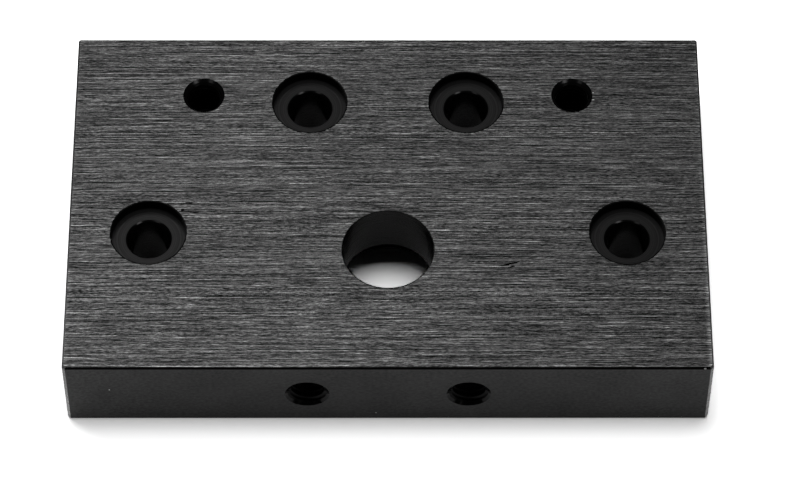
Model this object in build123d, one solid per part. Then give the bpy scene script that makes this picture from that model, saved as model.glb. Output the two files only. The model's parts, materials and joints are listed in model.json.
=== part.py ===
"""Machined mounting block: one piece of aluminium flat bar, drilled, counterbored and tapped.

All lengths are millimetres. The origin is the centre of the underside. +X runs along the bar,
+Z is up, and the face at -Y is the front, which has two tapped holes of its own.
"""
from build123d import *
from math import radians, tan
import os

# ---------------------------------------------------------------- bar stock
length = 80.0
width = 50.0
thickness = 12.0
corner_break = 0.4  # flat on each upright corner
edge_break = 0.3  # flat round the top face and round the underside
mouth_break = 0.1  # flat at the mouth of each plain hole

# ---------------------------------------------------------------- fixing holes, M5 clearance
slot_pitch = 20.0  # slots of the profile that the block is bolted to
outer_row_from_front = 20.0
inner_row_from_back = 10.0
fixing_diameter = 5.5
head_recess_diameter = 9.5
head_recess_depth = 1.5

# ---------------------------------------------------------------- stepped bore
bore_from_front = 17.5
bore_diameter = 11.6
seat_diameter = 16.0
seat_depth = 4.5  # up from the underside

# ---------------------------------------------------------------- tapped holes, M5 x 0.8
thread_diameter = 5.0
thread_pitch = 0.8
motor_hole_pitch = 47.14  # square bolt pattern of a 57 mm stepper motor
top_thread_mouth = 5.3
front_thread_mouth = 5.5
front_hole_depth = 13.0  # full diameter, without the drill point
countersink_angle = 90.0
drill_point_angle = 118.0

overrun = 1.0  # how far a cutter stands clear of the face it enters

# ---------------------------------------------------------------- places that follow from these
front_y = -width / 2
back_y = width / 2
bore_y = front_y + bore_from_front
inner_slot_x = slot_pitch / 2
outer_slot_x = inner_slot_x + slot_pitch
outer_row_y = front_y + outer_row_from_front
inner_row_y = back_y - inner_row_from_back
motor_hole_x = motor_hole_pitch / 2
motor_hole_y = bore_y + motor_hole_pitch / 2
tap_drill_diameter = thread_diameter - thread_pitch


def turned_cutter(*half_section):
    """Solid of revolution about Z, from its (radius, height) corners, with the mouth at height 0."""
    outline = Plane.XZ * Polyline(*half_section, close=True)
    return revolve(make_face(outline), Axis.Z)


def cone_height(radial_step, full_angle):
    """Height over which a cone of this full angle changes radius by radial_step."""
    return radial_step / tan(radians(full_angle / 2))


def fixing_hole_cutter():
    """Clearance hole right through, with a shallow recess for the screw's head."""
    head = head_recess_diameter / 2
    hole = fixing_diameter / 2
    return turned_cutter(
        (0, overrun),
        (head + mouth_break, overrun),
        (head + mouth_break, 0),
        (head, -mouth_break),
        (head, -head_recess_depth),
        (hole + mouth_break, -head_recess_depth),
        (hole, -head_recess_depth - mouth_break),
        (hole, -thickness + mouth_break),
        (hole + mouth_break, -thickness),
        (hole + mouth_break, -thickness - overrun),
        (0, -thickness - overrun),
    )


def stepped_bore_cutter():
    """Bore from the top that opens into a wider seat, cut from the underside."""
    bore = bore_diameter / 2
    seat = seat_diameter / 2
    shoulder = -thickness + seat_depth
    return turned_cutter(
        (0, overrun),
        (bore + mouth_break, overrun),
        (bore + mouth_break, 0),
        (bore, -mouth_break),
        (bore, shoulder),
        (seat, shoulder),
        (seat, -thickness + mouth_break),
        (seat + mouth_break, -thickness),
        (seat + mouth_break, -thickness - overrun),
        (0, -thickness - overrun),
    )


def through_tapped_cutter(mouth_diameter):
    """Tapping-size hole right through, countersunk at both ends."""
    mouth = mouth_diameter / 2
    drill = tap_drill_diameter / 2
    countersink = cone_height(mouth - drill, countersink_angle)
    return turned_cutter(
        (0, overrun),
        (mouth, overrun),
        (mouth, 0),
        (drill, -countersink),
        (drill, -thickness + countersink),
        (mouth, -thickness),
        (mouth, -thickness - overrun),
        (0, -thickness - overrun),
    )


def blind_tapped_cutter(mouth_diameter, depth):
    """Tapping-size hole with a countersunk mouth and the drill's point at its end."""
    mouth = mouth_diameter / 2
    drill = tap_drill_diameter / 2
    countersink = cone_height(mouth - drill, countersink_angle)
    return turned_cutter(
        (0, overrun),
        (mouth, overrun),
        (mouth, 0),
        (drill, -countersink),
        (drill, -depth),
        (0, -depth - cone_height(drill, drill_point_angle)),
    )


def bar_blank():
    """The length of flat bar with every outer edge broken."""
    blank = Box(length, width, thickness, align=(Align.CENTER, Align.CENTER, Align.MIN))
    blank = chamfer(blank.edges().filter_by(Axis.Z), corner_break)
    rims = blank.faces().filter_by(Axis.Z).edges()
    return chamfer(rims, edge_break)


def mounting_block():
    """The bar with all its holes, which are alike on the left and the right."""
    block = bar_blank()
    block -= Location((0, bore_y, thickness)) * stepped_bore_cutter()

    for side in (-1, 1):
        outer_fixing = Location((side * outer_slot_x, outer_row_y, thickness))
        block -= outer_fixing * fixing_hole_cutter()

        inner_fixing = Location((side * inner_slot_x, inner_row_y, thickness))
        block -= inner_fixing * fixing_hole_cutter()

        motor_hole = Location((side * motor_hole_x, motor_hole_y, thickness))
        block -= motor_hole * through_tapped_cutter(top_thread_mouth)

        front_mouth = (side * inner_slot_x, front_y, thickness / 2)
        into_front = Plane(origin=front_mouth, x_dir=(1, 0, 0), z_dir=(0, -1, 0))
        block -= into_front * blind_tapped_cutter(front_thread_mouth, front_hole_depth)

    return block


os.makedirs("parts", exist_ok=True)
export_step(mounting_block(), "parts/mounting_block.step")
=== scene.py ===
# %% [markdown]
# # A machined mounting block
# The block is cut from black anodised flat bar. Its top is brushed along its length, its sides
# are satin, and it carries a stepped bore, four recessed fixing holes and four tapped holes.
# The CAD part gives every size. Here the block is modelled again with what the CAD leaves out:
# the rounded edges, the threads, the brushing and the few marks of handling.

# %% Load the CAD part as the frame
import bmesh
import bpy
import json
from math import pi, radians, tan
from mathutils import Matrix, Vector


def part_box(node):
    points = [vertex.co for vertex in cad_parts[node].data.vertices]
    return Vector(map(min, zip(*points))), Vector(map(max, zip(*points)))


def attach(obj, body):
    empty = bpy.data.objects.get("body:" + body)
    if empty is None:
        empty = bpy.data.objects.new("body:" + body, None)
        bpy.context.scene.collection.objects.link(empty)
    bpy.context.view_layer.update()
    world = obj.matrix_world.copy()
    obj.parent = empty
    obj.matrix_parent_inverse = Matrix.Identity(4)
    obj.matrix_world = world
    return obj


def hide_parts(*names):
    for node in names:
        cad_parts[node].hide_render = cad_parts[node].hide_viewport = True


MM = 0.001
micron = 0.001 * MM
hair = micron
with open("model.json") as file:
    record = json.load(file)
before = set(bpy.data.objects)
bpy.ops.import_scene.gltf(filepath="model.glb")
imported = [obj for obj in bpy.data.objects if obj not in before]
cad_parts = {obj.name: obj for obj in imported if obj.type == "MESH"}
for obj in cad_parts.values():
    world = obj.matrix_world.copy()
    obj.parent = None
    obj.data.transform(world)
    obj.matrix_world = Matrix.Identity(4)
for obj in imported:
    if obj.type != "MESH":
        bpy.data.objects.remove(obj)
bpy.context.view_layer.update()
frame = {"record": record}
bpy.ops.object.select_all(action="DESELECT")
low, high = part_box("mounting_block")
size = high - low
centre = (low + high) / 2
mounts = {mount["name"]: mount for mount in frame["record"]["mounts"]}
print("block size in mm:", [round(side / MM, 2) for side in size])

# %% [markdown]
# ## Camera
# A small part like this is looked at from above, with a long lens, so that its edges stay
# nearly parallel. A camera that tilts down by more than half a right angle shows the top face
# whole and the front face narrow.

# %% Camera
lens_mm = 176.08
sensor_mm = 36
camera_place = Vector((-0.12, -279.48, 426.08)) * MM
look_down = radians(56.691)
turn = radians(-0.487)
lean = radians(0.403)
bpy.ops.object.camera_add(location=camera_place)
camera = bpy.context.object
camera.data.sensor_width = sensor_mm
camera.data.lens = lens_mm
aim = Matrix.Rotation(turn, 3, "Z") @ Matrix.Rotation(pi / 2 - look_down, 3, "X")
camera.rotation_euler = (aim @ Matrix.Rotation(lean, 3, "Z")).to_euler()
bpy.context.scene.camera = camera
print("camera is", round(camera_place.length, 3), "m from the block")

# %% Helpers for nodes
def new_material(name):
    """An empty material, with its output node placed."""
    material = bpy.data.materials.new(name)
    material.use_nodes = True
    material.node_tree.nodes.clear()
    return material


def add_node(tree, kind, place, **settings):
    """Add a node at this place in the tree, and set its own properties."""
    node = tree.nodes.new(kind)
    node.location = place
    for name, value in settings.items():
        setattr(node, name, value)
    return node


def join_up(tree, *pairs):
    """Link each pair of an output socket and an input socket."""
    for start, end in pairs:
        tree.links.new(start, end)


# %% [markdown]
# ## Floor
# The block lies on a pale table. The camera, reflections and glass see it brighter than the
# light that it sends back to the block, so it comes out white and still holds the narrow shadow
# at the foot of the block. Further out it turns into plain white, so no horizon shows.

# %% Floor
floor_radius = 3.0
bpy.ops.mesh.primitive_circle_add(vertices=96, radius=floor_radius, fill_type="NGON")
floor = bpy.context.object
floor.name = "table"
print("table is", 2 * floor_radius, "m across")

# %% White table
shadow_reach = (0.12, 0.30)
stray_light = 0.10
foot_of_block = 0.3 * MM
table_colour = (0.80, 0.80, 0.80, 1)
seen_colour = (2.5, 2.5, 2.5, 1)
table = new_material("white_table")
tree = table.node_tree
rays = add_node(tree, "ShaderNodeLightPath", (-900, 500))
camera_or_gloss = add_node(tree, "ShaderNodeMath", (-700, 500), operation="MAXIMUM")
seen = add_node(tree, "ShaderNodeMath", (-500, 500), operation="MAXIMUM")
join_up(tree,
        (rays.outputs["Is Camera Ray"], camera_or_gloss.inputs[0]),
        (rays.outputs["Is Glossy Ray"], camera_or_gloss.inputs[1]),
        (camera_or_gloss.outputs[0], seen.inputs[0]),
        (rays.outputs["Is Transmission Ray"], seen.inputs[1]))
place = add_node(tree, "ShaderNodeTexCoord", (-900, 200))
distance = add_node(tree, "ShaderNodeVectorMath", (-700, 200), operation="LENGTH")
far = add_node(tree, "ShaderNodeMapRange", (-500, 200), interpolation_type="SMOOTHSTEP")
far.inputs["From Min"].default_value = shadow_reach[0]
far.inputs["From Max"].default_value = shadow_reach[1]
folded = add_node(tree, "ShaderNodeVectorMath", (-900, -100), operation="ABSOLUTE")
beyond = add_node(tree, "ShaderNodeVectorMath", (-700, -100), operation="SUBTRACT")
beyond.inputs[1].default_value = (size.x / 2, size.y / 2, 0)
sides = add_node(tree, "ShaderNodeSeparateXYZ", (-500, -100))
gap = add_node(tree, "ShaderNodeMath", (-300, -100), operation="MAXIMUM")
stray = add_node(tree, "ShaderNodeMapRange", (-100, -100))
stray.inputs["From Min"].default_value = -foot_of_block
stray.inputs["From Max"].default_value = 0
stray.inputs["To Max"].default_value = stray_light
share = add_node(tree, "ShaderNodeMath", (-300, 400), operation="MAXIMUM")
plain = add_node(tree, "ShaderNodeBsdfDiffuse", (-300, 0))
plain.inputs["Color"].default_value = table_colour
bright = add_node(tree, "ShaderNodeBsdfDiffuse", (-300, 150))
bright.inputs["Color"].default_value = seen_colour
white = add_node(tree, "ShaderNodeEmission", (-300, 300))
white.inputs["Strength"].default_value = seen_colour[0]
outward = add_node(tree, "ShaderNodeMixShader", (-100, 250))
by_ray = add_node(tree, "ShaderNodeMixShader", (100, 200))
output = add_node(tree, "ShaderNodeOutputMaterial", (300, 200))
join_up(tree,
        (place.outputs["Object"], distance.inputs[0]),
        (distance.outputs["Value"], far.inputs["Value"]),
        (place.outputs["Object"], folded.inputs[0]),
        (folded.outputs[0], beyond.inputs[0]),
        (beyond.outputs[0], sides.inputs[0]),
        (sides.outputs["X"], gap.inputs[0]),
        (sides.outputs["Y"], gap.inputs[1]),
        (gap.outputs[0], stray.inputs["Value"]),
        (far.outputs["Result"], share.inputs[0]),
        (stray.outputs["Result"], share.inputs[1]),
        (share.outputs[0], outward.inputs["Fac"]),
        (bright.outputs[0], outward.inputs[1]),
        (white.outputs[0], outward.inputs[2]),
        (seen.outputs[0], by_ray.inputs["Fac"]),
        (plain.outputs[0], by_ray.inputs[1]),
        (outward.outputs[0], by_ray.inputs[2]),
        (by_ray.outputs[0], output.inputs["Surface"]))
floor.data.materials.append(table)
print(table.name, "has", len(tree.nodes), "nodes")

# %% [markdown]
# ## Light
# One softbox hangs above the block and a little behind it. Its cloth glows most under its lamp
# and fades outwards, so it is built of a core, a panel and a wide glow. The brushed top looks
# into it, and the side towards the camera stays dark, which draws the black line along the front
# edge. A second one, further back on the left, lights that end of the brushing more. Two small
# ones in front give the glints in the holes.

# %% Softboxes
def softbox(name, place, target, width, depth, brightness):
    """Add an area lamp of this size and radiance, facing the target."""
    bpy.ops.object.light_add(type="AREA", location=place)
    lamp = bpy.context.object
    lamp.name = name
    lamp.data.shape = "RECTANGLE"
    lamp.data.size = width
    lamp.data.size_y = depth
    lamp.data.energy = brightness * pi * width * depth
    facing = Vector(target) - Vector(place)
    lamp.rotation_euler = facing.to_track_quat("-Z", "Y").to_euler()
    lamp.visible_camera = False
    print(name, "gives", round(lamp.data.energy, 2), "W")


# name, place, target, width, depth and brightness
softboxes = (
    ("overhead_panel", (-0.005, 0.085, 0.60), (-0.005, 0.085, 0), 0.27, 0.23, 3.4),
    ("overhead_glow", (0.0, 0.08, 0.60), (0.0, 0.08, 0), 0.56, 0.24, 1.9),
    ("overhead_core", (0.0, 0.045, 0.59), (0.0, 0.045, 0), 0.20, 0.09, 2.0),
    ("back_left_softbox", (-0.22, 0.31, 0.60), (-0.22, 0.31, 0), 0.54, 0.22, 4.9),
    ("front_left_softbox", (-0.41, -0.50, 0.375), (0, 0, 0), 0.21, 0.24, 1.0),
    ("front_right_softbox", (0.41, -0.50, 0.375), (0, 0, 0), 0.21, 0.24, 3.6),
)
for panel in softboxes:
    softbox(*panel)

# %% Dim room
room = bpy.data.worlds.new("dim_room")
bpy.context.scene.world = room
room.use_nodes = True
background = room.node_tree.nodes["Background"]
background.inputs["Color"].default_value = (0.001, 0.001, 0.001, 1)
background.inputs["Strength"].default_value = 1
bpy.context.scene.view_settings.view_transform = "Standard"

# %% [markdown]
# ## The bar
# Flat bar is sawn to length and milled, and every edge is then broken. A cube at the size of
# the part is the start. The four upright edges get a flat, and the rims round the top and the
# underside are rounded, because tumbling and anodising leave no sharp line there.

# %% Helpers for pieces and edit mode
def choose(piece):
    """Select one piece alone and make it the active one."""
    bpy.ops.object.select_all(action="DESELECT")
    piece.select_set(True)
    bpy.context.view_layer.objects.active = piece


def edit_alone(piece, kind):
    """Open one piece in edit mode with nothing selected in it."""
    choose(piece)
    bpy.ops.object.mode_set(mode="EDIT")
    bpy.ops.mesh.select_mode(type=kind)
    bpy.ops.mesh.select_all(action="DESELECT")


def pick_edges(piece, wanted):
    """Select the edges for which wanted(start, end) is true, and say how many there are."""
    edit_alone(piece, "EDGE")
    shape = bmesh.from_edit_mesh(piece.data)
    picked = [edge for edge in shape.edges if wanted(edge.verts[0].co, edge.verts[1].co)]
    for edge in picked:
        edge.select_set(True)
    bmesh.update_edit_mesh(piece.data)
    return len(picked)


def pick_faces(piece, wanted):
    """Select the faces for which wanted(centre, normal) is true, and say how many there are."""
    edit_alone(piece, "FACE")
    shape = bmesh.from_edit_mesh(piece.data)
    picked = [face for face in shape.faces if wanted(face.calc_center_median(), face.normal)]
    for face in picked:
        face.select_set(True)
    bmesh.update_edit_mesh(piece.data)
    return len(picked)


def leave_edit():
    """Go back to object mode."""
    bpy.ops.object.mode_set(mode="OBJECT")


def settle(piece):
    """Move a piece's place, turn and scale into its mesh."""
    choose(piece)
    bpy.ops.object.transform_apply(location=True, rotation=True, scale=True)


def cut_out(piece, cutter):
    """Take a cutter out of the piece with an exact boolean, and throw the cutter away."""
    choose(piece)
    cut = piece.modifiers.new("cut", "BOOLEAN")
    cut.operation = "DIFFERENCE"
    cut.solver = "EXACT"
    cut.object = cutter
    bpy.ops.object.modifier_apply(modifier=cut.name)
    bpy.data.objects.remove(cutter)
    print(piece.name, "has", len(piece.data.polygons), "faces")


# %% The bar with its broken edges
# the side in X, the end in Y, and the width of the flat in millimetres
corner_flats = (
    (-1, -1, 0.4),
    (1, -1, 0.4),
    (-1, 1, 0.2),
    (1, 1, 0.2),
)
bpy.ops.mesh.primitive_cube_add(size=1, location=centre, scale=size)
block = bpy.context.object
block.name = "machined_block"
settle(block)
for side, end, flat in corner_flats:
    upright = pick_edges(block, lambda a, b: abs(a.z - b.z) > size.z / 2
                         and side * a.x > size.x / 2 - hair and end * a.y > size.y / 2 - hair)
    bpy.ops.mesh.bevel(offset=flat * MM, offset_type="OFFSET", segments=1)
    leave_edit()
    print("upright edges broken:", upright, "by", flat, "mm")

# %% Round the rims
rim_width = 0.30 * MM
front_reach = low.y + corner_flats[0][2] * MM + hair
back_reach = high.y - corner_flats[2][2] * MM - hair
# name, share of the width, and which points lie on the rim
rims = (
    ("top front", 0.87, lambda p: p.z > high.z - hair and p.y < front_reach),
    ("top back", 1.0, lambda p: p.z > high.z - hair and p.y > back_reach),
    ("top ends", 0.75, lambda p: p.z > high.z - hair),
    ("underside", 1.0, lambda p: p.z < low.z + hair),
)
done = set()
for rim_name, share, on_rim in rims:
    edit_alone(block, "EDGE")
    shape = bmesh.from_edit_mesh(block.data)
    picked = [edge for edge in shape.edges
              if edge.index not in done and on_rim(edge.verts[0].co) and on_rim(edge.verts[1].co)]
    for edge in picked:
        edge.select_set(True)
        done.add(edge.index)
    bmesh.update_edit_mesh(block.data)
    bpy.ops.transform.edge_bevelweight(value=share)
    leave_edit()
    print(rim_name, "rim has", len(picked), "edges")
soften = block.modifiers.new("soften", "BEVEL")
soften.limit_method = "WEIGHT"
soften.offset_type = "OFFSET"
soften.use_clamp_overlap = False
soften.width = rim_width
soften.segments = 8
soften.profile = 0.5
choose(block)
bpy.ops.object.modifier_apply(modifier=soften.name)
print("block has", len(block.data.polygons), "faces before its holes")

# %% [markdown]
# ## Marks of handling
# The block has been handled a little: a scratch lies to the right of the bore, a pit and two fine
# lines beside the left fixing hole, and a few nicks show bare metal. Each is a small ball,
# stretched along its own line, flattened, and sunk to about its middle in the face it marks.

# %% Nicks and scratches
# name, place, (length, width, depth), turn in degrees, and whether bare metal shows
nicks = (
    ("scratch", (15.25, -9.68, 12), (2.4, 0.28, 0.09), 15, False),
    ("short_scratch", (15.4, -10.12, 12), (0.9, 0.2, 0.06), 11, False),
    ("chip_by_scratch", (15.22, -9.78, 12), (0.18, 0.14, 0.03), 0, True),
    ("pit", (-25.8, -1.6, 12), (0.46, 0.42, 0.15), 0, False),
    ("fine_line", (-24.6, -1.9, 12), (1.8, 0.17, 0.05), -3.5, False),
    ("dash", (-25.0, -0.47, 12), (1.1, 0.18, 0.05), 0, False),
    ("flake_at_tap", (-21.8, 13.85, 12), (0.6, 0.09, 0.02), 18, True),
    ("speck_at_tap", (26.28, 15.4, 12), (0.3, 0.16, 0.03), 0, True),
    ("second_speck_at_tap", (26.3, 16.5, 12), (0.26, 0.14, 0.03), 0, True),
    ("edge_nick", (38.9, -24.95, 11.86), (0.34, 0.16, 0.14), 0, True),
    ("corner_nick", (39.92, -24.3, 11.93), (0.1, 0.24, 0.08), 0, True),
    ("front_speck", (-34.4, -25, 7), (0.16, 0.02, 0.08), 0, True),
    ("low_front_speck", (-1.5, -25, 1.5), (0.16, 0.02, 0.08), 0, True),
)
bare_share = 0.55
bare_spots = []
for name, place, (length, width, depth), turned, shows_bare in nicks:
    bpy.ops.mesh.primitive_ico_sphere_add(
        subdivisions=3, radius=1, location=Vector(place) * MM, rotation=(0, 0, radians(turned)),
        scale=(length / 2 * MM, width / 2 * MM, depth * MM))
    ball = bpy.context.object
    ball.name = name
    settle(ball)
    cut_out(block, ball)
    if shows_bare:
        bare_spots.append((Vector(place) * MM, bare_share * length * MM))
print("nicks:", len(nicks), "of which", len(bare_spots), "show bare metal")

# %% [markdown]
# ## Holes
# Each kind of hole is turned, so its cutter is one circle that is extruded and resized from ring
# to ring down its half section. The mouths are broken by narrow, shallow cones, whose outer rings
# are shaken by a few hundredths of a millimetre: brushing leaves such an edge slightly ragged.
# Each cone takes the mouth out to about the hole's own size, so the wall below is narrower.
# All the cutters are joined and taken out of the bar with one exact boolean.

# %% A turned cutter
round_sides = 96
clear = 1.0
past = 0.1


def mouth(radius, height, reach, drop, outwards):
    """Rings of a broken edge between a wall and a face, from outside the face to the wall."""
    far = reach + past * reach / drop
    return [(radius + far, height + outwards * past), (radius, height - outwards * drop)]


def turned_cutter(name, rings, pointed=False):
    """Extrude a circle from ring to ring; a ring is a radius and a height in millimetres."""
    first_radius, first_height = rings[0]
    bpy.ops.mesh.primitive_circle_add(vertices=round_sides, radius=first_radius * MM,
                                      fill_type="NGON", location=(0, 0, first_height * MM))
    cutter = bpy.context.object
    cutter.name = name
    settle(cutter)
    edit_alone(cutter, "FACE")
    bpy.ops.mesh.select_all(action="SELECT")
    for (radius, height), (next_radius, next_height) in zip(rings, rings[1:]):
        drop = (0, 0, (next_height - height) * MM)
        bpy.ops.mesh.extrude_region_move(TRANSFORM_OT_translate={"value": drop})
        grow = next_radius / radius
        bpy.ops.transform.resize(value=(grow, grow, 1),
                                 center_override=(0, 0, next_height * MM))
    if pointed:
        bpy.ops.mesh.merge(type="CENTER")
    bpy.ops.mesh.select_all(action="SELECT")
    bpy.ops.mesh.normals_make_consistent(inside=False)
    leave_edit()
    return cutter


def copy_to(cutter, place, tilt=0):
    """A copy with its own mesh, turned about X and moved to its place."""
    choose(cutter)
    bpy.ops.object.duplicate(linked=False)
    twin = bpy.context.object
    twin.rotation_euler.x = tilt
    twin.location = place
    settle(twin)
    return twin


def spread(mount, height):
    """The places of a mount's two holes, at this height."""
    across = mount["dims"]["spacing_x_mm"] / 2 * MM
    x, y = mount["pos_m"][:2]
    return [Vector((x - across, y, height)), Vector((x + across, y, height))]


def join_all(pieces, name):
    """Join the pieces into one mesh of this name."""
    bpy.ops.object.select_all(action="DESELECT")
    for piece in pieces:
        piece.select_set(True)
    bpy.context.view_layer.objects.active = pieces[0]
    bpy.ops.object.join()
    joined = bpy.context.object
    joined.name = name
    return joined


# %% Cutters for the plain holes
thickness = size.z / MM
bore_break = 0.12
head_break = 0.15
hole_break = 0.15
under_break = 0.2
mouth_slope = 0.2
bore_inset = 0.1
head_inset = 0.06
head_width = 9.5
head_radius = head_width / 2 - head_inset
head_depth = 1.5
fixing_radius = mounts["outer_fixings"]["dims"]["hole_r_mm"]
fixing_rings = (
    [(head_radius + 1, clear)]
    + mouth(head_radius, 0, head_break, mouth_slope * head_break, 1)
    + [(head_radius, -head_depth), (fixing_radius + hole_break, -head_depth)]
    + [(fixing_radius, -head_depth - hole_break)]
    + mouth(fixing_radius, -thickness, under_break, under_break, -1)[::-1]
    + [(fixing_radius + 1, -thickness - clear)]
)
fixing = turned_cutter("fixing_cutter", fixing_rings)
bore_radius = mounts["top_bore"]["dims"]["r_mm"] - bore_inset
seat_radius = mounts["underside_seat"]["dims"]["r_mm"]
seat_depth = 4.5
bore_rings = (
    [(bore_radius + 1, clear)]
    + mouth(bore_radius, 0, bore_break, mouth_slope * bore_break, 1)
    + [(bore_radius, -thickness + seat_depth), (seat_radius, -thickness + seat_depth)]
    + mouth(seat_radius, -thickness, under_break, under_break, -1)[::-1]
    + [(seat_radius + 1, -thickness - clear)]
)
bore = turned_cutter("bore_cutter", bore_rings)
print("rings in a fixing hole:", len(fixing_rings), "and in the bore:", len(bore_rings))

# %% Cutters for the tapped holes
drill_radius = mounts["motor_taps"]["dims"]["hole_r_mm"]
top_mouth_radius = 5.3 / 2
front_mouth_radius = 5.5 / 2
smooth_ring = 0.3
drilled_depth = 13
drill_point = radians(118)
point_radius = 0.01


def countersink(radius, height, outwards):
    """A 90 degree cone from outside the face to the drilled wall; its first ring stays smooth."""
    return [
        (radius + clear, height + outwards * clear),
        (radius - smooth_ring, height - outwards * smooth_ring),
        (drill_radius, height - outwards * (radius - drill_radius)),
    ]


through_rings = (
    countersink(top_mouth_radius, 0, 1)
    + countersink(top_mouth_radius, -thickness, -1)[::-1]
)
through_tap = turned_cutter("through_tap_cutter", through_rings)
point_height = drill_radius / tan(drill_point / 2)
blind_rings = (
    countersink(front_mouth_radius, 0, 1)
    + [(drill_radius, -drilled_depth), (point_radius, -drilled_depth - point_height)]
)
blind_tap = turned_cutter("blind_tap_cutter", blind_rings, pointed=True)
print("rings in a through tap:", len(through_rings), "and in a blind one:", len(blind_rings))

# %% Put the cutters in their places
tilt_to_front = pi / 2
front_tap_height = mounts["front_taps"]["pos_m"][2]
cutters = []
for mount_name in ("outer_fixings", "inner_fixings"):
    for place in spread(mounts[mount_name], high.z):
        cutters.append(copy_to(fixing, place))
for place in spread(mounts["motor_taps"], high.z):
    cutters.append(copy_to(through_tap, place))
for place in spread(mounts["front_taps"], front_tap_height):
    place.y = low.y
    cutters.append(copy_to(blind_tap, place, tilt_to_front))
bore_x, bore_y = mounts["top_bore"]["pos_m"][:2]
cutters.append(copy_to(bore, Vector((bore_x, bore_y, high.z))))
print("holes:", len(cutters))
hole_cutters = join_all(cutters, "hole_cutters")
for model in (fixing, bore, through_tap, blind_tap):
    bpy.data.objects.remove(model)

# %% Shake the mouths and take the holes out
ragged = 0.03 * MM
edit_alone(hole_cutters, "VERT")
shape = bmesh.from_edit_mesh(hole_cutters.data)
for corner in shape.verts:
    corner.select_set(high.z + hair < corner.co.z < high.z + 2 * past * MM)
bmesh.update_edit_mesh(hole_cutters.data)
bpy.ops.transform.vertex_random(offset=ragged, uniform=1, normal=0, seed=5)
leave_edit()
cut_out(block, hole_cutters)

# %% [markdown]
# ## Threads
# A tap cuts a spiral groove into the drilled wall. Its section is a trapezium that narrows
# outwards, and the Screw modifier winds it up. The groove is taken out after the holes, and it
# starts below the smooth ring that the countersink leaves.

# %% Thread grooves
pitch = 0.8
root_radius = 2.5
root_flat = 0.1
inner_radius = 2.0
flank = radians(30)
steps_per_turn = 48
thread_start = 0.45
short_thread_end = 10


def thread_cutter(name, start, end):
    """A spiral groove from one height to the other, in millimetres below the mouth."""
    turns = round((end - start) / pitch)
    bpy.ops.mesh.primitive_plane_add(size=1, rotation=(pi / 2, 0, 0))
    groove = bpy.context.object
    groove.name = name
    settle(groove)
    depth = root_radius - inner_radius
    inner_flat = root_flat + 2 * tan(flank) * depth
    middle = Vector(((root_radius + inner_radius) / 2 * MM, 0, -end * MM))
    edit_alone(groove, "VERT")
    bpy.ops.mesh.select_all(action="SELECT")
    bpy.ops.transform.resize(value=(depth * MM, 1, inner_flat * MM),
                             center_override=(0, 0, 0))
    bpy.ops.transform.translate(value=middle)
    bpy.ops.mesh.select_all(action="DESELECT")
    shape = bmesh.from_edit_mesh(groove.data)
    for corner in shape.verts:
        corner.select_set(corner.co.x > middle.x)
    bmesh.update_edit_mesh(groove.data)
    bpy.ops.transform.resize(value=(1, 1, root_flat / inner_flat), center_override=middle)
    leave_edit()
    wind = groove.modifiers.new("wind", "SCREW")
    wind.axis = "Z"
    wind.screw_offset = pitch * MM
    wind.iterations = turns
    wind.steps = steps_per_turn
    wind.render_steps = steps_per_turn
    bpy.ops.object.modifier_apply(modifier=wind.name)
    edit_alone(groove, "EDGE")
    bpy.ops.mesh.select_all(action="SELECT")
    bpy.ops.mesh.remove_doubles(threshold=hair)
    bpy.ops.mesh.fill_holes(sides=4)
    bpy.ops.mesh.normals_make_consistent(inside=False)
    leave_edit()
    return groove


long_groove = thread_cutter("long_groove", thread_start, thickness - thread_start)
short_groove = thread_cutter("short_groove", thread_start, short_thread_end)
grooves = []
for place in spread(mounts["motor_taps"], high.z):
    grooves.append(copy_to(long_groove, place))
for place in spread(mounts["front_taps"], front_tap_height):
    place.y = low.y
    grooves.append(copy_to(short_groove, place, tilt_to_front))
groove_cutters = join_all(grooves, "groove_cutters")
for model in (long_groove, short_groove):
    bpy.data.objects.remove(model)
cut_out(block, groove_cutters)

# %% Smooth what is round and keep the rest flat
smooth_below = radians(32)
choose(block)
bpy.ops.object.shade_smooth_by_angle(angle=smooth_below)
flats = pick_faces(block, lambda centre, normal: max(map(abs, normal)) > 0.99999)
bpy.ops.mesh.mark_sharp()
leave_edit()
print("block is smoothed, with", flats, "faces kept flat")

# %% [markdown]
# ## Black anodised finishes
# Anodising grows a hard oxide film that is dyed black, and it copies the surface under it. So
# one film shows several ways: with long fine lines on the brushed top, evenly dull on the milled
# sides, and dark and smooth inside the holes. Each is one material. What they share is built
# once, as node groups: brushed lines, fine grain, turned marks, and masks for a painted sheen at
# the ends of the bar and a painted highlight along the top front edge.

# %% Helper for node groups
def group_sockets(group, inputs, outputs):
    """Name a group's sockets; each input comes with its usual value."""
    for name, value in inputs:
        socket = group.interface.new_socket(name, in_out="INPUT", socket_type="NodeSocketFloat")
        socket.default_value = value
    for name in outputs:
        group.interface.new_socket(name, in_out="OUTPUT", socket_type="NodeSocketFloat")
    start = add_node(group, "NodeGroupInput", (-1400, 0))
    end = add_node(group, "NodeGroupOutput", (2200, 0))
    return start, end


# %% Brushed lines, a shared node group
# how often a line changes along X, its fineness across, and its weight
line_layers = (
    (60, 1.0, 0.65),
    (260, 1.0, 0.45),
    (900, 1.0, 0.38),
    (2200, 1.0, 0.55),
    (7000, 1.0, 0.30),
)
# name, how often it changes along X, where it starts and is whole, and its change of brightness
sparse_lines = (
    ("cut", 420, 0.62, 0.76, 0.35),
    ("glint", 330, 0.64, 0.80, 2.0),
)
sparse_share = 0.9
layer_step = Vector((7.3, 3.7, 0))
phase_scale = 0.7
phase_slide = 5
darkest_shade = 0.3
shade_power = 2.2


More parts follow.
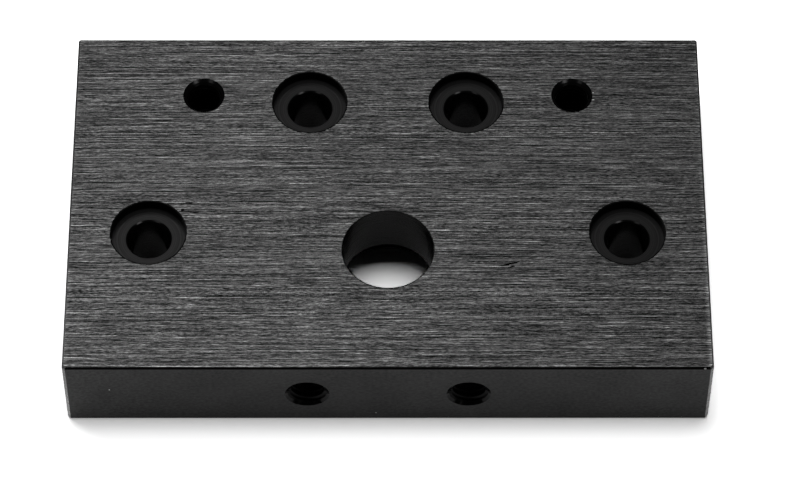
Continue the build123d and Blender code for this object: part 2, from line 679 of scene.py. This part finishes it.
def brushed_lines_group():
    """Long fine lines along X: a brightness round 1, and a height for bump."""
    group = bpy.data.node_groups.new("brushed_lines", "ShaderNodeTree")
    start, end = group_sockets(group, (("Fineness", 5200.0), ("Contrast", 2.2)), ("Shade", "Height"))
    place = add_node(group, "ShaderNodeTexCoord", (-1200, 300))
    stretch = add_node(group, "ShaderNodeCombineXYZ", (-1200, 0))
    stretch.inputs["X"].default_value = 1
    join_up(group, (start.outputs["Fineness"], stretch.inputs["Y"]))

    def stretched_noise(row, along, share):
        """Noise that is long in X; each line starts at its own place along X."""
        height = -250 * row
        layer = add_node(group, "ShaderNodeVectorMath", (-900, height), operation="MULTIPLY")
        layer.inputs[1].default_value = (along, share, 0)
        scaled = add_node(group, "ShaderNodeVectorMath", (-700, height), operation="MULTIPLY_ADD")
        scaled.inputs[2].default_value = layer_step * row
        part = add_node(group, "ShaderNodeSeparateXYZ", (-500, height))
        phase = add_node(group, "ShaderNodeTexNoise", (-300, height - 100), noise_dimensions="1D")
        phase.inputs["Scale"].default_value = phase_scale
        phase.inputs["Detail"].default_value = 0
        slide = add_node(group, "ShaderNodeMath", (-100, height), operation="MULTIPLY_ADD")
        slide.inputs[1].default_value = phase_slide
        across = add_node(group, "ShaderNodeCombineXYZ", (100, height))
        noise = add_node(group, "ShaderNodeTexNoise", (300, height), noise_dimensions="2D")
        noise.inputs["Scale"].default_value = 1
        noise.inputs["Detail"].default_value = 0
        join_up(group,
                (stretch.outputs[0], layer.inputs[0]),
                (layer.outputs[0], scaled.inputs[0]),
                (place.outputs["Object"], scaled.inputs[1]),
                (scaled.outputs[0], part.inputs[0]),
                (part.outputs["Y"], phase.inputs["W"]),
                (phase.outputs["Fac"], slide.inputs[0]),
                (part.outputs["X"], slide.inputs[2]),
                (slide.outputs[0], across.inputs["X"]),
                (part.outputs["Y"], across.inputs["Y"]),
                (across.outputs[0], noise.inputs["Vector"]))
        return noise

    total = None
    half_of_weights = 0.5 * sum(layer[2] for layer in line_layers)
    for row, (along, share, weight) in enumerate(line_layers):
        noise = stretched_noise(row, along, share)
        added = add_node(group, "ShaderNodeMath", (600, -250 * row), operation="MULTIPLY_ADD")
        added.inputs[1].default_value = weight
        added.inputs[2].default_value = -half_of_weights
        join_up(group, (noise.outputs["Fac"], added.inputs[0]))
        if total is not None:
            join_up(group, (total.outputs[0], added.inputs[2]))
        total = added
    swing = add_node(group, "ShaderNodeMath", (900, 200), operation="MULTIPLY_ADD")
    swing.inputs[2].default_value = 1
    no_darker = add_node(group, "ShaderNodeMath", (1100, 200), operation="MAXIMUM")
    no_darker.inputs[1].default_value = darkest_shade
    shade = add_node(group, "ShaderNodeMath", (1300, 200), operation="POWER")
    shade.inputs[1].default_value = shade_power
    join_up(group,
            (total.outputs[0], swing.inputs[0]),
            (start.outputs["Contrast"], swing.inputs[1]),
            (swing.outputs[0], no_darker.inputs[0]),
            (no_darker.outputs[0], shade.inputs[0]))
    for row, (name, along, least, most, change) in enumerate(sparse_lines, len(line_layers)):
        noise = stretched_noise(row, along, sparse_share)
        sparse = add_node(group, "ShaderNodeMapRange", (600, -250 * row))
        sparse.label = name
        sparse.inputs["From Min"].default_value = least
        sparse.inputs["From Max"].default_value = most
        sparse.inputs["To Min"].default_value = 1
        sparse.inputs["To Max"].default_value = change
        both = add_node(group, "ShaderNodeMath", (1300, -250 * row), operation="MULTIPLY")
        join_up(group,
                (noise.outputs["Fac"], sparse.inputs["Value"]),
                (shade.outputs[0], both.inputs[0]),
                (sparse.outputs["Result"], both.inputs[1]))
        shade = both
    join_up(group,
            (shade.outputs[0], end.inputs["Shade"]),
            (total.outputs[0], end.inputs["Height"]))
    return group


brushed_lines = brushed_lines_group()
print("brushed lines group has", len(brushed_lines.nodes), "nodes")

# %% Fine grain, a shared node group
grain_lie = (0.55, 0.8, 0.8)
cloud_scale = 220
cloud_share = 0.5


def fine_grain_group():
    """The even grain of a milled and etched face, with a slight lie along X."""
    group = bpy.data.node_groups.new("fine_grain", "ShaderNodeTree")
    start, end = group_sockets(group, (("Fineness", 3600.0), ("Contrast", 0.6)), ("Shade", "Height"))
    place = add_node(group, "ShaderNodeTexCoord", (-1200, 300))
    lie = add_node(group, "ShaderNodeVectorMath", (-1000, 300), operation="MULTIPLY")
    lie.inputs[1].default_value = grain_lie
    grain = add_node(group, "ShaderNodeTexNoise", (-700, 300), noise_dimensions="3D")
    grain.inputs["Detail"].default_value = 2
    grain.inputs["Roughness"].default_value = 0.6
    cloud = add_node(group, "ShaderNodeTexNoise", (-700, 0), noise_dimensions="3D")
    cloud.inputs["Scale"].default_value = cloud_scale
    cloud.inputs["Detail"].default_value = 3
    mixed = add_node(group, "ShaderNodeMath", (-400, 200), operation="MULTIPLY_ADD")
    mixed.inputs[1].default_value = cloud_share
    centred = add_node(group, "ShaderNodeMath", (-200, 200), operation="SUBTRACT")
    centred.inputs[1].default_value = (1 + cloud_share) / 2
    shade = add_node(group, "ShaderNodeMath", (0, 200), operation="MULTIPLY_ADD")
    shade.inputs[2].default_value = 1
    join_up(group,
            (place.outputs["Object"], lie.inputs[0]),
            (lie.outputs[0], grain.inputs["Vector"]),
            (start.outputs["Fineness"], grain.inputs["Scale"]),
            (place.outputs["Object"], cloud.inputs["Vector"]),
            (cloud.outputs["Fac"], mixed.inputs[0]),
            (grain.outputs["Fac"], mixed.inputs[2]),
            (mixed.outputs[0], centred.inputs[0]),
            (centred.outputs[0], shade.inputs[0]),
            (start.outputs["Contrast"], shade.inputs[1]),
            (shade.outputs[0], end.inputs["Shade"]),
            (centred.outputs[0], end.inputs["Height"]))
    return group


fine_grain = fine_grain_group()
print("fine grain group has", len(fine_grain.nodes), "nodes")

# %% Turned marks, a shared node group
outer_hole = mounts["outer_fixings"]
inner_hole = mounts["inner_fixings"]
between_holes = 20 * MM


def turned_marks_group():
    """The rings that a cutter leaves: round the wall of a hole, and on the floor of a recess."""
    group = bpy.data.node_groups.new("turned_marks", "ShaderNodeTree")
    start, end = group_sockets(
        group, (("Fineness", 6000.0), ("Contrast", 1.0), ("Rings", 0.0)), ("Shade", "Height"))
    place = add_node(group, "ShaderNodeTexCoord", (-1200, 300))
    part = add_node(group, "ShaderNodeSeparateXYZ", (-1000, 300))
    side = add_node(group, "ShaderNodeMath", (-800, 300), operation="ABSOLUTE")
    outer = add_node(group, "ShaderNodeMath", (-600, 300), operation="GREATER_THAN")
    outer.inputs[1].default_value = between_holes
    axis_x = add_node(group, "ShaderNodeMapRange", (-400, 400))
    axis_x.inputs["To Min"].default_value = inner_hole["dims"]["spacing_x_mm"] / 2 * MM
    axis_x.inputs["To Max"].default_value = outer_hole["dims"]["spacing_x_mm"] / 2 * MM
    axis_y = add_node(group, "ShaderNodeMapRange", (-400, 100))
    axis_y.inputs["To Min"].default_value = inner_hole["pos_m"][1]
    axis_y.inputs["To Max"].default_value = outer_hole["pos_m"][1]
    out_x = add_node(group, "ShaderNodeMath", (-200, 400), operation="SUBTRACT")
    out_y = add_node(group, "ShaderNodeMath", (-200, 100), operation="SUBTRACT")
    out = add_node(group, "ShaderNodeCombineXYZ", (0, 300))
    radius = add_node(group, "ShaderNodeVectorMath", (200, 300), operation="LENGTH")
    ring = add_node(group, "ShaderNodeMath", (400, 300), operation="MULTIPLY_ADD")
    across = add_node(group, "ShaderNodeMath", (600, 300), operation="MULTIPLY")
    turn_noise = add_node(group, "ShaderNodeTexNoise", (800, 300), noise_dimensions="1D")
    turn_noise.inputs["Scale"].default_value = 1
    turn_noise.inputs["Detail"].default_value = 2
    centred = add_node(group, "ShaderNodeMath", (1000, 300), operation="SUBTRACT")
    centred.inputs[1].default_value = 0.5
    shade = add_node(group, "ShaderNodeMath", (1200, 300), operation="MULTIPLY_ADD")
    shade.inputs[2].default_value = 1
    join_up(group,
            (place.outputs["Object"], part.inputs[0]),
            (part.outputs["X"], side.inputs[0]),
            (side.outputs[0], outer.inputs[0]),
            (outer.outputs[0], axis_x.inputs["Value"]),
            (outer.outputs[0], axis_y.inputs["Value"]),
            (side.outputs[0], out_x.inputs[0]),
            (axis_x.outputs["Result"], out_x.inputs[1]),
            (part.outputs["Y"], out_y.inputs[0]),
            (axis_y.outputs["Result"], out_y.inputs[1]),
            (out_x.outputs[0], out.inputs["X"]),
            (out_y.outputs[0], out.inputs["Y"]),
            (out.outputs[0], radius.inputs[0]),
            (radius.outputs["Value"], ring.inputs[0]),
            (start.outputs["Rings"], ring.inputs[1]),
            (part.outputs["Z"], ring.inputs[2]),
            (ring.outputs[0], across.inputs[0]),
            (start.outputs["Fineness"], across.inputs[1]),
            (across.outputs[0], turn_noise.inputs["W"]),
            (turn_noise.outputs["Fac"], centred.inputs[0]),
            (centred.outputs[0], shade.inputs[0]),
            (start.outputs["Contrast"], shade.inputs[1]),
            (shade.outputs[0], end.inputs["Shade"]),
            (centred.outputs[0], end.inputs["Height"]))
    return group


turned_marks = turned_marks_group()
print("turned marks group has", len(turned_marks.nodes), "nodes")

# %% Painted sheen, a shared node group
front_edge = (0.50 * MM, 0.26 * MM)
front_fade = (22 * MM, 38 * MM)
least_front = 0.1
least_forward = 0.3
patch_scale = 900
patch_least = 0.55


def ramp(tree, place, first, last, low_value=0.0, high_value=1.0):
    """A soft step from low_value at first to high_value at last."""
    node = add_node(tree, "ShaderNodeMapRange", place, interpolation_type="SMOOTHSTEP")
    node.inputs["From Min"].default_value = first
    node.inputs["From Max"].default_value = last
    node.inputs["To Min"].default_value = low_value
    node.inputs["To Max"].default_value = high_value
    return node


def painted_sheen_group():
    """Two masks for painted light: sheen at the two ends of the bar, and a highlight along the long
    top edge at the front.
    """
    group = bpy.data.node_groups.new("painted_sheen", "ShaderNodeTree")
    start, end = group_sockets(
        group, (("Left share", 0.35), ("Reach", 0.9 * MM)), ("Ends", "Front edge"))
    place = add_node(group, "ShaderNodeTexCoord", (-1200, 300))
    part = add_node(group, "ShaderNodeSeparateXYZ", (-1000, 300))
    away = add_node(group, "ShaderNodeMath", (-800, 500), operation="ABSOLUTE")
    begin = add_node(group, "ShaderNodeMath", (-800, 700), operation="SUBTRACT")
    begin.inputs[0].default_value = high.x
    # painted sheen at both ends of the bar, stronger on one side and towards the front
    near_end = ramp(group, (-600, 500), 0, high.x)
    side = ramp(group, (-600, 300), -MM, MM)
    forward = ramp(group, (-600, 100), 10 * MM, low.y, least_forward, 1)
    sided = add_node(group, "ShaderNodeMath", (-400, 400), operation="MULTIPLY")
    ends = add_node(group, "ShaderNodeMath", (-200, 400), operation="MULTIPLY")
    # a painted highlight along the rounded front edge of the top, fading to the right and broken
    # into patches
    near_front = ramp(group, (-600, -200), low.y + front_edge[0], low.y + front_edge[1])
    fading = ramp(group, (-600, -400), front_fade[0], front_fade[1], 1, least_front)
    patchy = add_node(group, "ShaderNodeTexNoise", (-600, -600), noise_dimensions="1D")
    patchy.inputs["Scale"].default_value = patch_scale
    patchy.inputs["Detail"].default_value = 4
    sheen_patches = ramp(group, (-400, -600), 0.3, 0.6, patch_least, 1)
    faded = add_node(group, "ShaderNodeMath", (-200, -200), operation="MULTIPLY")
    front = add_node(group, "ShaderNodeMath", (0, -200), operation="MULTIPLY")
    join_up(group,
            (place.outputs["Object"], part.inputs[0]),
            (part.outputs["X"], away.inputs[0]),
            (start.outputs["Reach"], begin.inputs[1]),
            (begin.outputs[0], near_end.inputs["From Min"]),
            (away.outputs[0], near_end.inputs["Value"]),
            (part.outputs["X"], side.inputs["Value"]),
            (start.outputs["Left share"], side.inputs["To Min"]),
            (part.outputs["Y"], forward.inputs["Value"]),
            (near_end.outputs["Result"], sided.inputs[0]),
            (side.outputs["Result"], sided.inputs[1]),
            (sided.outputs[0], ends.inputs[0]),
            (forward.outputs["Result"], ends.inputs[1]),
            (ends.outputs[0], end.inputs["Ends"]),
            (part.outputs["Y"], near_front.inputs["Value"]),
            (part.outputs["X"], fading.inputs["Value"]),
            (part.outputs["X"], patchy.inputs["W"]),
            (patchy.outputs["Fac"], sheen_patches.inputs["Value"]),
            (near_front.outputs["Result"], faded.inputs[0]),
            (fading.outputs["Result"], faded.inputs[1]),
            (faded.outputs[0], front.inputs[0]),
            (sheen_patches.outputs["Result"], front.inputs[1]),
            (front.outputs[0], end.inputs["Front edge"]))
    return group


painted_sheen = painted_sheen_group()
print("worn places group has", len(painted_sheen.nodes), "nodes")

# %% Brushed top
film_brightness = 0.044
line_depth = 8 * micron
# the brushed colour is painted lighter at the ends and along the front edge: painted sheen and a
# painted highlight
end_sheen_gain = 2.5
front_highlight_gain = 1.7
brushed = new_material("brushed_black_anodising")
tree = brushed.node_tree
lines = add_node(tree, "ShaderNodeGroup", (-1300, 100), node_tree=brushed_lines)
lines.inputs["Contrast"].default_value = 2.0
sheen_masks = add_node(tree, "ShaderNodeGroup", (-1300, -200), node_tree=painted_sheen)
sheen_masks.inputs["Left share"].default_value = 0.2
lift = add_node(tree, "ShaderNodeMath", (-1100, -100), operation="MULTIPLY_ADD")
lift.inputs[1].default_value = end_sheen_gain
lift.inputs[2].default_value = 1
front_lift = add_node(tree, "ShaderNodeMath", (-900, -100), operation="MULTIPLY_ADD")
front_lift.inputs[1].default_value = front_highlight_gain
tone = add_node(tree, "ShaderNodeMath", (-700, 100), operation="MULTIPLY")
film = add_node(tree, "ShaderNodeMath", (-500, 100), operation="MULTIPLY")
film.inputs[1].default_value = film_brightness
bump = add_node(tree, "ShaderNodeBump", (-500, -200))
bump.inputs["Strength"].default_value = 1
bump.inputs["Distance"].default_value = line_depth
grain = add_node(tree, "ShaderNodeTangent", (-500, -400), direction_type="RADIAL", axis="X")
skin = add_node(tree, "ShaderNodeBsdfPrincipled", (-200, 0))
skin.inputs["Metallic"].default_value = 1
skin.inputs["Roughness"].default_value = 0.42
skin.inputs["Anisotropic"].default_value = 0.6
output = add_node(tree, "ShaderNodeOutputMaterial", (100, 0))
join_up(tree,
        (sheen_masks.outputs["Ends"], lift.inputs[0]),
        (sheen_masks.outputs["Front edge"], front_lift.inputs[0]),
        (lift.outputs[0], front_lift.inputs[2]),
        (lines.outputs["Shade"], tone.inputs[0]),
        (front_lift.outputs[0], tone.inputs[1]),
        (tone.outputs[0], film.inputs[0]),
        (film.outputs[0], skin.inputs["Base Color"]),
        (lines.outputs["Height"], bump.inputs["Height"]),
        (bump.outputs["Normal"], skin.inputs["Normal"]),
        (grain.outputs[0], skin.inputs["Tangent"]),
        (skin.outputs["BSDF"], output.inputs["Surface"]))
print("made", brushed.name)

# %% A black film
# how strongly and how far the painted sheen at the ends reaches, more on the left end
left_share = 1.7
end_reach = 16 * MM
shade_range = (0.6, 1.4)
rough_swing = 0.05


def black_film(name, colour, roughness, specular, marks, marks_values, bump_height, end_sheen):
    """A black film whose colour, roughness and bump follow one of the groups of marks."""
    material = new_material(name)
    tree = material.node_tree
    texture = add_node(tree, "ShaderNodeGroup", (-1100, 0), node_tree=marks)
    for socket_name, value in marks_values:
        texture.inputs[socket_name].default_value = value
    sheen_masks = add_node(tree, "ShaderNodeGroup", (-1100, -300), node_tree=painted_sheen)
    sheen_masks.inputs["Left share"].default_value = left_share
    sheen_masks.inputs["Reach"].default_value = end_reach
    # the colour is painted lighter towards the ends of the bar: painted sheen
    lift = add_node(tree, "ShaderNodeMath", (-900, -300), operation="MULTIPLY_ADD")
    lift.inputs[1].default_value = end_sheen
    lift.inputs[2].default_value = colour
    tint = add_node(tree, "ShaderNodeMath", (-700, 0), operation="MULTIPLY")
    rough = add_node(tree, "ShaderNodeMapRange", (-700, -200))
    rough.inputs["From Min"].default_value = shade_range[0]
    rough.inputs["From Max"].default_value = shade_range[1]
    rough.inputs["To Min"].default_value = roughness + rough_swing
    rough.inputs["To Max"].default_value = roughness - rough_swing
    bump = add_node(tree, "ShaderNodeBump", (-500, -400))
    bump.inputs["Strength"].default_value = 1
    bump.inputs["Distance"].default_value = bump_height
    skin = add_node(tree, "ShaderNodeBsdfPrincipled", (-200, 0))
    skin.inputs["Specular IOR Level"].default_value = specular
    output = add_node(tree, "ShaderNodeOutputMaterial", (100, 0))
    join_up(tree,
            (sheen_masks.outputs["Ends"], lift.inputs[0]),
            (lift.outputs[0], tint.inputs[0]),
            (texture.outputs["Shade"], tint.inputs[1]),
            (tint.outputs[0], skin.inputs["Base Color"]),
            (texture.outputs["Shade"], rough.inputs["Value"]),
            (rough.outputs["Result"], skin.inputs["Roughness"]),
            (texture.outputs["Height"], bump.inputs["Height"]),
            (bump.outputs["Normal"], skin.inputs["Normal"]),
            (skin.outputs["BSDF"], output.inputs["Surface"]))
    print("made", name)
    return material


# %% The plain black finishes
grainy = (("Fineness", 3600), ("Contrast", 1.9))
smooth_grain = (("Fineness", 5000), ("Contrast", 0.6))
wall_lines = (("Fineness", 7000), ("Contrast", 1.5), ("Rings", 0))
floor_rings = (("Fineness", 5000), ("Contrast", 1.3), ("Rings", 1))
# name, colour, roughness, specular level, marks and their values, bump height, painted sheen at the
# ends
plain_films = (
    ("satin", 0.024, 0.36, 0.045, fine_grain, grainy, micron, 0.009),
    # the corner flats are a lighter copy of the satin film: painted sheen for the light that these
    # flats catch
    ("corner", 0.045, 0.25, 0.15, fine_grain, grainy, micron, 0),
    ("rim", 0.001, 0.30, 0.01, fine_grain, smooth_grain, micron, 0),
    ("end_rim", 0.002, 0.30, 0.03, fine_grain, smooth_grain, micron, 0.06),
    ("front_rim", 0.002, 0.20, 0.03, fine_grain, smooth_grain, micron, 0),
    ("edge", 0.001, 0.30, 0.02, fine_grain, smooth_grain, micron, 0),
    ("mouth", 0.003, 0.20, 0.22, fine_grain, smooth_grain, micron, 0),
    ("tap_ring", 0.002, 0.14, 0.06, fine_grain, smooth_grain, micron, 0),
    ("bored", 0.002, 0.28, 0.027, turned_marks, wall_lines, 2 * micron, 0),
    ("drilled", 0.002, 0.15, 0.017, turned_marks, wall_lines, 2 * micron, 0),
    ("end_milled", 0.011, 0.23, 0.050, turned_marks, floor_rings, 2 * micron, 0),
)
films = {}
for film_name, *values in plain_films:
    films[film_name] = black_film(film_name + "_black_anodising", *values)

# %% Bare metal in the nicks
bare_brightness = 0.4
bare = new_material("bare_aluminium")
tree = bare.node_tree
speckle = add_node(tree, "ShaderNodeGroup", (-900, 0), node_tree=fine_grain)
speckle.inputs["Fineness"].default_value = 9000
speckle.inputs["Contrast"].default_value = 1.2
shine = add_node(tree, "ShaderNodeMath", (-600, 0), operation="MULTIPLY")
shine.inputs[1].default_value = bare_brightness
skin = add_node(tree, "ShaderNodeBsdfPrincipled", (-200, 0))
skin.inputs["Metallic"].default_value = 1
skin.inputs["Roughness"].default_value = 0.5
output = add_node(tree, "ShaderNodeOutputMaterial", (100, 0))
join_up(tree,
        (speckle.outputs["Shade"], shine.inputs[0]),
        (shine.outputs[0], skin.inputs["Base Color"]),
        (skin.outputs["BSDF"], output.inputs["Surface"]))
print("made", bare.name)

# %% [markdown]
# ## Where each finish goes
# A face is known by where its middle lies and which way it looks: inside a hole, on a rim, on a
# corner flat, or on the flat top. Later finishes in the list take faces over from earlier ones.

# %% Say which face is which
around_hole = 0.2
around_seat = 0.25
drilled_reach = 2.9
front_tap_reach = 2.95
front_tap_length = 18
step_depth = 0.25
steep, shallow, almost_flat = 0.3, 0.85, 0.996
least_tilt, facing_front, level = 0.02, 0.95, 0.9999
hole_places = []
for mount_name, radius in (("outer_fixings", head_radius), ("inner_fixings", head_radius),
                           ("motor_taps", top_mouth_radius)):
    for place in spread(mounts[mount_name], 0):
        hole_places.append((place, radius + around_hole))
hole_places.append((Vector((bore_x, bore_y, 0)), seat_radius + around_seat))


def in_hole(point):
    """Whether a point lies within a hole's reach, seen from above or from the front."""
    for place, radius in hole_places:
        if (Vector((point.x, point.y, 0)) - place).length < radius * MM:
            return True
    for place in spread(mounts["front_taps"], front_tap_height):
        out = Vector((point.x - place.x, 0, point.z - place.z))
        if out.length < front_tap_reach * MM:
            return low.y + 0.1 * micron < point.y < low.y + front_tap_length * MM
    return False


def is_wall(centre, normal):
    return in_hole(centre) and low.z + hair < centre.z < high.z - hair


def is_drilled(centre, normal):
    flat_place = Vector((centre.x, centre.y, 0))
    near = any((flat_place - place).length < drilled_reach * MM for place, _ in hole_places)
    return is_wall(centre, normal) and near and centre.z < high.z - head_depth * MM - hair


def is_floor(centre, normal):
    return is_wall(centre, normal) and abs(centre.z - high.z + head_depth * MM) < hair


def is_mouth(centre, normal):
    tilted = steep < abs(normal.z) < shallow
    at_top = centre.z > high.z - smooth_ring * MM
    at_step = high.z - (head_depth + step_depth) * MM < centre.z < high.z - head_depth * MM
    return is_wall(centre, normal) and tilted and (at_top or at_step)


def is_edge(centre, normal):
    tilted = shallow <= abs(normal.z) < almost_flat
    return is_wall(centre, normal) and tilted and centre.z > high.z - smooth_ring * MM


def is_tap_ring(centre, normal):
    tilted = steep < abs(normal.y) < facing_front
    return is_wall(centre, normal) and tilted and centre.y < low.y + smooth_ring * MM


def is_corner(centre, normal):
    sideways = min(abs(normal.x), abs(normal.y)) > 0.5
    return abs(normal.z) < steep and sideways and not in_hole(centre)


def is_rim(centre, normal):
    return least_tilt < abs(normal.z) < level and not in_hole(centre)


def is_end_rim(centre, normal):
    return is_rim(centre, normal) and normal.z > 0 and abs(normal.x) > 0.6 * abs(normal.y)


def is_front_rim(centre, normal):
    facing = normal.z > 0 and -normal.y > abs(normal.x)
    return is_rim(centre, normal) and facing and centre.y < low.y + MM


def is_bare(centre, normal):
    return any((centre - spot).length < reach for spot, reach in bare_spots)


def is_top(centre, normal):
    return normal.z > level and centre.z > high.z - hair


# %% Give each face its finish
block.data.materials.append(films["satin"])
finishes = (
    (films["bored"], is_wall),
    (films["drilled"], is_drilled),
    (films["end_milled"], is_floor),
    (films["mouth"], is_mouth),
    (films["edge"], is_edge),
    (films["tap_ring"], is_tap_ring),
    (films["corner"], is_corner),
    (films["rim"], is_rim),
    (films["end_rim"], is_end_rim),
    (films["front_rim"], is_front_rim),
    (brushed, is_top),
    (bare, is_bare),
)
for number, (finish, wanted) in enumerate(finishes, 1):
    block.data.materials.append(finish)
    found = pick_faces(block, wanted)
    block.active_material_index = number
    bpy.ops.object.material_slot_assign()
    leave_edit()
    print(finish.name, "covers", found, "faces")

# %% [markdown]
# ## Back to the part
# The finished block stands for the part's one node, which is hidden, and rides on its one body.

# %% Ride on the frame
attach(block, "root")
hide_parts("mounting_block")
bpy.ops.object.select_all(action="DESELECT")
